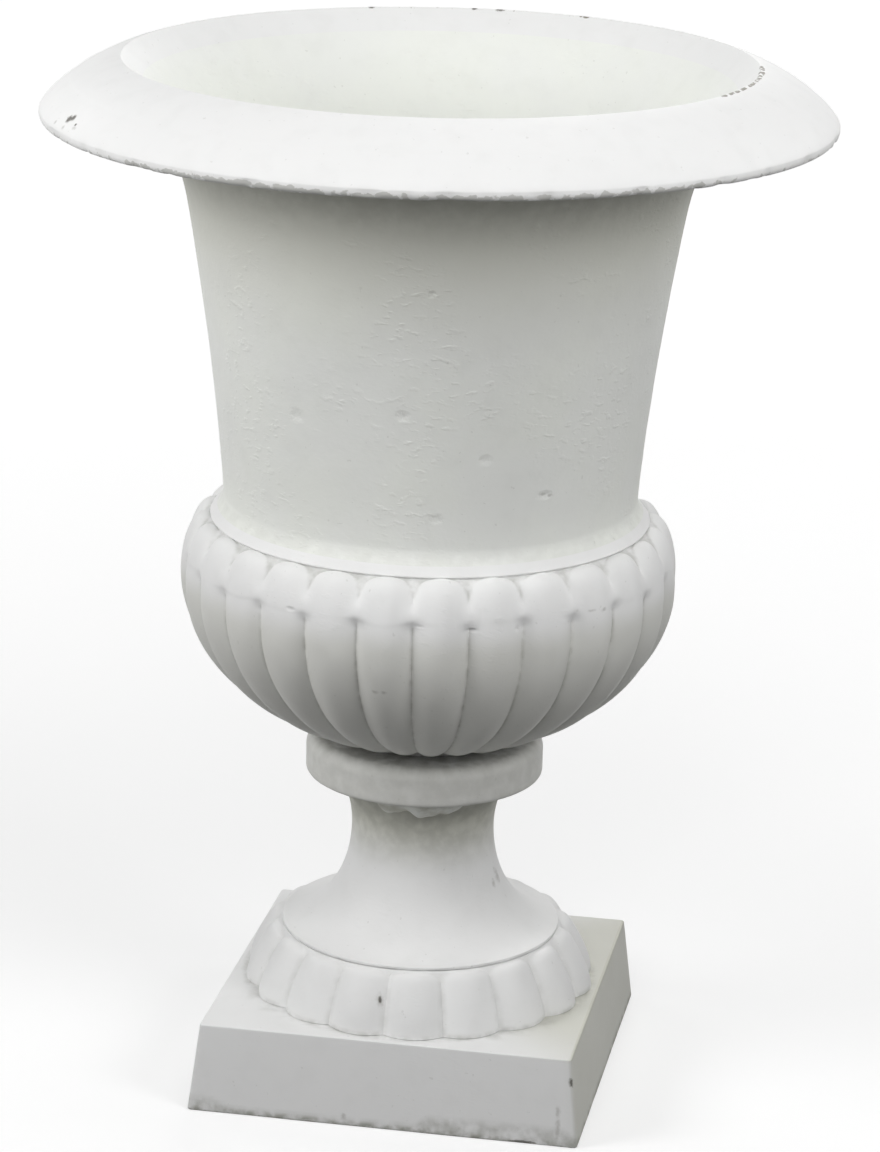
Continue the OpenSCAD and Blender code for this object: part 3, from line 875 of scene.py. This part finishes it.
def make_gadroon_bowl():
    """The lobed bowl with its plain band, and the seam that the paint leaves above its widest part."""
    valley_r = bowl_r - bowl_depth
    foot_valley_r = bowl_foot_r - bowl_foot_depth
    foot_t = math.acos(foot_valley_r / valley_r)
    depth_z = (z_belly - z_bowl) / math.sin(foot_t)
    groove_r = band_r - groove
    low_rows = 52
    high_rows = 56
    low_k = np.linspace(1, 0, low_rows, endpoint=False)
    low_t = foot_t * low_k
    low = np.column_stack([valley_r * np.cos(low_t), z_belly - depth_z * np.sin(low_t)])
    tip = np.clip((low[:, 1] - z_bowl) / tip_round, 0, 1)
    bump_r = (bowl_depth + (bowl_foot_depth - bowl_depth) * low_k ** 2) * np.sqrt(1 - (1 - tip) ** 2)
    bump_low = np.column_stack([bump_r, np.zeros(len(low))])
    high_k = np.linspace(0, 1, high_rows)
    high_t = np.radians(90 * high_k)
    high = np.column_stack([
        groove_r + (valley_r - groove_r) * np.cos(high_t),
        z_belly + (z_band - groove - z_belly) * np.sin(high_t),
    ])
    bump_high = bowl_depth * np.column_stack([np.cos(high_t), np.sin(high_t) * (high_k < 1)])
    head = np.concatenate([np.zeros(len(low)), np.maximum(0, 2 * high_k - 1)])
    base = np.concatenate([low, high])
    bump = np.concatenate([bump_low, bump_high])
    angles = even_angles(bowl_lobes * LOBE_COLUMNS, bowl_turn)
    seam = seam_z + 4 * lattice_noise(around(bowl_r, 0.0, angles), 24, BOWL_SEED + 1) - 2
    above_seam = ramp(base[:, 1:], seam - 6, seam + 2)
    filled = 0.85 * above_seam * ramp(base[:, 1:], z_belly + 31, z_belly + 16)
    outside, rise = lobed(base, bump, head, bowl_lobes, bowl_turn, BOWL_SEED, filled)

    in_r = valley_r - bowl_wall
    z_floor = z_bowl + bowl_floor
    z_roof = z_bell - flange_t
    roof_r = bell_foot_r - bell_wall
    bore_r = joint_spigot_r + fit_gap
    plain = rounded(join(
        line((band_r, z_band), (bell_foot_r, z_bell), FINE),
        line((bore_r, z_bell), (bore_r, z_roof)),
        arc((roof_r, z_belly), (in_r - roof_r, z_roof - z_belly), 90, 0, HIDDEN),
        arc((spigot_r, z_belly), (in_r - spigot_r, z_belly - z_floor), 0, -90, HIDDEN),
        line((spigot_r, z_floor), (rod_hole_r, z_floor)),
        line((rod_hole_r, z_collar), (spigot_in_r, z_collar)),
        line((spigot_in_r, z_collar - spigot_h), (spigot_r, z_collar - spigot_h)),
        line((spigot_r, z_collar), (bowl_seat_r, z_collar)),
        line((bowl_seat_r, z_bowl), (foot_valley_r - 2, z_bowl)),
    ), radius=0.8)
    inside = revolve(plain, angles)
    points = np.concatenate([outside, inside])
    height = points[..., 2]
    below_seam = ramp(height, seam + 0.8, seam - 0.8) * ramp(height, z_belly - 40, z_belly)
    below_seam[len(outside):] = 0
    step_in = 0.35 * below_seam * ramp(lattice_noise(points, 14, BOWL_SEED + 3), 0.3, 0.9)
    off_joint = ramp(height, z_bell - 4, z_band)
    skin = cast(points, lumps=0.35 * off_joint, seed=BOWL_SEED + 2)
    points = skin - facing(points) * step_in[..., None]
    # Painted shade in the valleys just under the band, and on the bowl below its widest part. Inside, the
    # bowl is darker towards its floor.
    valley = ramp(rise, 0.22, 0.0) * ramp(outside[..., 2], z_band, z_band - 3)
    belly_shade = 0.45 * ramp(outside[..., 2], z_belly + 12, z_belly - 8)
    floor_darkening = 0.8 * ramp(inside[..., 2], z_belly, z_floor)
    dirt_and_shade = np.concatenate([0.45 * valley, floor_darkening])
    painted_shade = np.concatenate([belly_shade, np.zeros(inside.shape[:2])])
    stains = [
        (-1.5, 154, 305, 2.2, 1.4),
        (0.6, 154, 305.3, 1.8, 1.2),
        (46.2, 155, 353, 2.6, 1.4),
        (50.0, 158, 352, 2.6, 0.9),
        (53.5, 159, 351, 2.8, 1.3),
        (32.0, 160, 349, 2.0, 1.0),
    ]
    dents = [
        (20.4, 156, 347.5, 3.5, 1.4),
        (31, 158, 347, 2.0, 2.5),
        (-22, 159, 352, 3.0, 1.5),
        (8, 160, 350, 4, 1.2),
    ]
    paint = white_paint("white_paint_bowl", dents=dents, stains=stains, lumps=0.15)
    piece = add_piece("gadroon_bowl", paint, [points], {"dirt_and_shade": dirt_and_shade, "painted_shade": painted_shade})
    cut_drains(piece, z_collar - 1, z_floor + 1)


def make_bell():
    """The tall side, from the bend of paint at the bowl's band to the flange under the rim."""
    z_flange = z_seat - flange_t
    seat_lean = flare_lean(z_seat, flare_radius)
    flange_lean = flare_lean(z_flange, flare_out_radius)
    side = hollowed((bell_foot_r, z_bell), (bell_neck_r, z_flare), bell_hollow, PLAIN)
    band_middle = ((bell_foot_r + band_r) / 2, (z_bell + z_band) / 2)
    loop = rounded(join(
        bend(band_middle, side[0], side[2], 8),
        side[3:],
        flare(flare_out_radius, flare_start, flange_lean, PLAIN),
        line((flange_out_r, z_flange), (flange_out_r, z_seat)),
        (seat_in_r, z_seat),
        flare(flare_radius, seat_lean, flare_start, PLAIN * 2)[1:],
        hollowed(flare_in, (bell_foot_r - bell_wall, z_bell + flange_t), bell_hollow, PLAIN * 2),
        line((joint_r, z_bell + flange_t), (joint_r, z_bell - spigot_h)),
        line((joint_spigot_r, z_bell - spigot_h), (joint_spigot_r, z_bell)),
        (bell_foot_r, z_bell),
    ), radius=0.9, sharp_z=z_seat)
    points = revolve(loop, even_angles(BELL_COLUMNS))
    height = points[..., 2]
    off_joints = ramp(height, z_bell + 4, z_bell + 20) * ramp(height, z_seat - 3, z_seat - 15)
    points = cast(points, lumps=0.55 * off_joints, seed=BELL_SEED)
    radius = axis_distance(points)
    inside = ramp(height, z_bell + 120, z_bell + 10) * ramp(radius, bell_foot_r - 2, bell_foot_r - 4)
    foot = ramp(height, z_bell + 3, z_bell)
    outward = (facing(points)[..., :2] * points[..., :2]).sum(-1) / radius
    outside = ramp(outward, 0, 0.2)
    # Painted shade on the outside under the rim, darkest near the top, and at the foot where the bell meets
    # the band. The inside is darker low down.
    under_rim = outside * ramp(height, z_seat - 80, z_seat - 25)
    painted_shade = 0.8 * outside * ramp(height, z_seat - 160, z_seat - 50)
    dirt_and_shade = np.clip(0.6 * inside + 0.12 * foot + 0.3 * under_rim, 0, 1)
    stains = [
        (40.6, 136, 424.5, 2.4, 1.0),
        (43.0, 136, 423.2, 2.0, 1.0),
    ]
    dents = [
        (9.6, 153.5, 556.6, 2.2, 2.2),
        (41.4, 136, 423.8, 5, 2.6),
        (-6.4, 163, 601.5, 2.5, 2.5),
        (12, 134, 412, 4, 3),
        (-26, 141, 470, 5, 4),
        (3, 142, 478, 4, 3),
        (24, 138, 450, 4, 3),
    ]
    paint = white_paint("white_paint_bell", dents=dents, stains=stains, lumps=0.36, white=AGED_WHITE)
    add_piece("bell", paint, [points], {"dirt_and_shade": dirt_and_shade, "painted_shade": painted_shade})


def make_rim():
    """The rolled lip, hollow underneath, with worn paint along its edge and rust along the mouth."""
    lip_round = rim_wall / 2
    lip_centre = (rim_r - lip_round, z_lip + lip_round)
    hollow_w = rim_r - rim_wall - mouth_r
    hollow_drop = z_crest - z_wide - rim_wall
    hollow_end = math.degrees(math.asin(((z_seat - z_wide) / hollow_drop) ** (rim_fullness / 2)))
    loop = rounded(join(
        arc(lip_centre, (lip_round, lip_round), -180, 0, FINE * 0.8),
        rim_round(rim_r - mouth_r, z_crest - z_wide, 0, 90, FINE),
        flare(flare_radius, flare_end, flare_lean(z_seat, flare_radius), FINE)[:-1],
        (seat_in_r, z_seat),
        rim_round(hollow_w, hollow_drop, hollow_end, 0, HIDDEN * 0.6),
    ), radius=1.2, sharp_z=z_seat)
    points = revolve(loop, even_angles(RIM_COLUMNS))
    outer = ramp(axis_distance(points), rim_r - 7, rim_r - 3)
    lip = outer * ramp(points[..., 2], z_lip + 10, z_lip + 2)
    nicks = lip * ramp(lattice_noise(points, 7, RIM_SEED + 2), 0.55, 0.8)
    near_joint = ramp(points[..., 2], z_seat + 8, z_seat + 2) * ramp(points[..., 2], z_seat - 1, z_seat)
    skin = cast(points, lumps=0.35 * (1 - near_joint), seed=RIM_SEED)
    points = skin - facing(points) * (0.7 * nicks)[..., None]
    angle = np.degrees(np.arctan2(points[..., 0], -points[..., 1]))
    radius = axis_distance(points)
    crest = ramp(points[..., 2], z_crest - 3.0, z_crest - 1.0) * ramp(radius, 203, 201)
    right_edge = ramp(angle, 62, 70) * ramp(angle, 106, 98)
    back_edge = 0.75 * ramp(np.abs(angle), 145, 160)
    chips = [
        (-55.8, 243.6, 646.9, 2.4, 2.2),
        (-54.9, 242.2, 648.2, 2.0, 1.8),
        (-52.6, 244.7, 645.9, 0.9, 0.8),
        (-156, 199.5, 671.7, 1.8, 0.8),
        (-176, 199.5, 671.7, 1.6, 0.8),
        (179, 199.5, 671.7, 2.4, 0.8),
    ]
    stains = [
        (-59.3, 247.8, 642.4, 1.8, 1.4),
        (-55.5, 247.8, 642.4, 1.8, 1.4),
        (-52.3, 246.0, 644.5, 2.2, 1.4),
    ]
    paint = white_paint("white_paint_rim", chips, stains=stains, lumps=0.07)
    traits = {
        "dirt_and_shade": 0.10 * lip,
        "wear": lip * (0.8 + 0.3 * ramp(np.abs(angle - 6), 55, 35)),
        "rust": np.clip(crest * (right_edge + back_edge), 0, 1),
    }
    add_piece("rim", paint, [points], traits)


def hexagon_rows(diameter, low, high, angles):
    """Rows up the outside of a hexagon nut or head, with its corners turned off at both ends."""
    width = 1.5 * diameter + 1
    end_r = 0.95 * width / 2
    chamfer = 0.09 * diameter
    chamfer_slope = math.tan(math.radians(30))
    down = np.array([0, 0.35, 0.7, 1.0])
    height = np.concatenate([low + chamfer * down, high - chamfer * down[::-1]])
    from_end = np.minimum(height - low, high - height)
    limit = end_r + from_end / chamfer_slope
    hexagon = width / 2 / np.cos(np.radians((angles + 30) % 60 - 30))
    radius = np.minimum(hexagon[None], limit[:, None])
    return np.stack([radius, np.broadcast_to(height[:, None], radius.shape)], axis=-1)


def round_rows(radii, levels, angles):
    """Rows of plain circles."""
    rows = np.empty((len(radii), len(angles), 2))
    rows[..., 0] = np.array(radii, float)[:, None]
    rows[..., 1] = np.array(levels, float)[:, None]
    return rows


def thread_rows(diameter, pitch, low, high, angles):
    """Rows up a screw thread, cut into a shank of the given diameter."""
    rows_per_turn = 6
    half_depth = 0.3 * pitch
    count = math.ceil(rows_per_turn * (high - low) / pitch)
    height = np.linspace(low, high, count + 1)[:, None]
    phase = 2 * np.pi * (height / pitch - angles[None] / 360)
    radius = diameter / 2 - half_depth * (1 - np.cos(phase))
    return np.stack([radius, np.broadcast_to(height, radius.shape)], axis=-1)


def turned(rows, angles):
    """Points of rows of (radius, height) at angles about the axis."""
    return around(rows[..., 0], rows[..., 1], angles[None])


def nut(diameter, low):
    """Hexagon nut standing at a height."""
    ease = 0.5
    angles = even_angles(HEXAGON_COLUMNS)
    high = low + nut_share * diameter
    bore = diameter / 2 + 0.15
    outside = hexagon_rows(diameter, low, high, angles)
    inside_r = [bore + ease, bore, bore, bore + ease]
    inside_z = [high, high - ease, low + ease, low]
    inside = round_rows(inside_r, inside_z, angles)
    return turned(np.concatenate([outside, inside]), angles)


def washer(diameter, low):
    """Plain washer lying at a height, with its edges rounded by the punch."""
    high = low + washer_share * diameter
    out_r = diameter + washer_edge
    bore = diameter / 2 + 0.5
    ease = 0.06 * diameter
    loop = [
        (out_r - ease, low), (out_r, low + ease), (out_r, high - ease), (out_r - ease, high),
        (bore + ease, high), (bore, high - ease), (bore, low + ease), (bore + ease, low),
    ]
    return revolve(np.array(loop), even_angles(ROUND_COLUMNS))


def hex_bolt(diameter, pitch, head_low, head_high, end):
    """Hexagon bolt with a threaded shank on the side of its head where the end is."""
    angles = even_angles(HEXAGON_COLUMNS)
    up = end > head_high
    foot = head_high if up else head_low
    low, high = (foot, end) if up else (end, foot)
    point = 0.8
    thread = thread_rows(diameter, pitch, low + (0 if up else point), high - (point if up else 0), angles)
    head = hexagon_rows(diameter, head_low, head_high, angles)
    tip = round_rows([0.82 * diameter / 2], [end], angles)
    rows = [head, thread, tip] if up else [tip, thread, head]
    return turned(np.concatenate(rows), angles)


def placed(grid, circle_r):
    """Copies of a grid for all the bolts on a circle about the axis."""
    return [grid + around(circle_r, 0.0, angle) for angle in even_angles(bolt_count, 90)]


def make_tie_rod(steel):
    """The rod on the axis, threaded at both ends, with its nuts and washers."""
    angles = even_angles(ROUND_COLUMNS)
    low, high = heights("tie_rod")
    point = 1.2
    end_r = rod_d / 2 - 1.4
    rows = np.concatenate([
        round_rows([end_r], [low], angles),
        thread_rows(rod_d, rod_pitch, low + point, low + rod_thread_h, angles),
        thread_rows(rod_d, rod_pitch, high - rod_thread_h, high - point, angles),
        round_rows([end_r], [high], angles),
    ])
    add_piece("tie_rod", steel, [turned(rows, angles)], capped=True)
    for node in ("tie_rod_top_nut", "tie_rod_bottom_nut"):
        add_piece(node, steel, [nut(rod_d, heights(node)[0])])
    for node in ("tie_rod_top_washer", "tie_rod_bottom_washer"):
        add_piece(node, steel, [washer(rod_d, heights(node)[0])])


def make_flange_bolts(steel):
    """The bolts between the bowl and the bell, heads up, with a washer above and below and a nut."""
    end, top = heights("flange_bolts")
    bolt = hex_bolt(bolt_d, bolt_pitch, top - head_share * bolt_d, top, end)
    add_piece("flange_bolts", steel, placed(bolt, bolt_ring_r), capped=True)
    flange_nut = nut(bolt_d, heights("flange_nuts")[0])
    add_piece("flange_nuts", steel, placed(flange_nut, bolt_ring_r))
    low, high = heights("flange_washers")
    below = placed(washer(bolt_d, low), bolt_ring_r)
    above = placed(washer(bolt_d, high - washer_share * bolt_d), bolt_ring_r)
    add_piece("flange_washers", steel, below + above)


def make_rim_screws(steel):
    """The screws that hold the rim from below, each with a washer."""
    low, end = heights("rim_screws")
    screw = hex_bolt(bolt_d, bolt_pitch, low, low + head_share * bolt_d, end)
    add_piece("rim_screws", steel, placed(screw, screw_ring_r), capped=True)
    screw_washer = washer(bolt_d, heights("rim_screw_washers")[0])
    add_piece("rim_screw_washers", steel, placed(screw_washer, screw_ring_r))


def make_camera():
    """The camera that took the photograph, worked out from the urn's circles and the plinth's corners."""
    place = Vector((441.5, -2436.8, 1101.7)) * MM
    heading = math.radians(10.10)
    pitch = math.radians(17.22)
    roll = math.radians(1.41)
    level = Vector((math.cos(heading), math.sin(heading), 0))
    forward = Vector((-math.sin(heading), math.cos(heading), 0))
    ahead = forward * math.cos(pitch) - Vector((0, 0, math.sin(pitch)))
    upward = level.cross(ahead)
    right = level * math.cos(roll) + upward * math.sin(roll)
    up = upward * math.cos(roll) - level * math.sin(roll)
    data = bpy.data.cameras.new("camera")
    data.lens = 125
    data.sensor_width = 36
    data.clip_end = 100
    camera = add_object("camera", data)
    camera.matrix_world = Matrix((right, up, -ahead)).transposed().to_4x4()
    camera.location = place
    bpy.context.scene.camera = camera


def make_floor():
    """A plain floor that the camera sees as white, with the urn's shadow on it.

    It glows a little to the camera alone, and more further out, where the lamps don't reach.
    """
    half = 14000 * MM
    corners = [(-half, -half, 0), (half, -half, 0), (half, half, 0), (-half, half, 0)]
    mesh = bpy.data.meshes.new("floor")
    mesh.from_pydata(corners, [], [(0, 1, 2, 3)])
    floor = add_object("floor", mesh)
    look = Shader(bpy.data.materials.new("floor"))
    seen = look.seen()
    pale = look.mix(look.noise(400, 2.0), FLOOR_LIGHT, FLOOR_DARK)
    colour = look.mix(seen, FLOOR_UNSEEN, pale)
    far_out = look.step(look.length(look.place), 0.3, 2.4)
    glow = look.times(look.between(far_out, 0.42, 0.95), seen)
    grain = look.times(look.noise(3, 2.0), 0.05)
    mesh.materials.append(look.finish(colour, 0.9, grain, glow=glow))


# Soft lamps: angle from the front, distance from the axis, height, and power in watts
LAMPS = [
    (300, 1300, 1050, 9.8),
    (310, 1300, 150, 1.6),
    (0, 1300, 1050, 5.0),
    (60, 1300, 1050, 7.2),
    (120, 1300, 1050, 3.6),
    (180, 1300, 1050, 3.2),
    (240, 1300, 1050, 2.4),
    (30, 800, 1600, 4.2),
    (180, 800, 1600, 4.4),
]
LAMP_SIZE = 700
LAMP_AIM = Vector((0, 0, 350)) * MM


def make_light():
    """Soft lamps near the urn, in a dim room that the camera sees as plain white."""
    for angle, distance, height, power in LAMPS:
        data = bpy.data.lights.new("lamp", "AREA")
        data.shape = "DISK"
        data.size = LAMP_SIZE * MM
        data.energy = power
        lamp = add_object("lamp", data)
        lamp.location = Vector(around(distance, height, angle)) * MM
        lamp.rotation_euler = (LAMP_AIM - lamp.location).to_track_quat("-Z", "Y").to_euler()
        lamp.visible_camera = False
    world = bpy.data.worlds.new("room")
    bpy.context.scene.world = world
    look = Shader(world)
    dim = look.add("ShaderNodeBackground", {"Color": PURE_WHITE, "Strength": 0.02})
    white = look.add("ShaderNodeBackground", {"Color": PURE_WHITE, "Strength": 1.0})
    choose = look.add("ShaderNodeMixShader", {0: look.seen(), 1: dim.outputs[0], 2: white.outputs[0]})
    look.add("ShaderNodeOutputWorld", {"Surface": choose.outputs[0]})
    bpy.context.scene.view_settings.view_transform = "Standard"


make_plinth()
make_foot_ring()
make_socle()
make_collar()
make_collar_filler()
make_gadroon_bowl()
make_bell()
make_rim()
bolt_steel = zinc_steel()
make_tie_rod(bolt_steel)
make_flange_bolts(bolt_steel)
make_rim_screws(bolt_steel)
make_camera()
make_floor()
make_light()
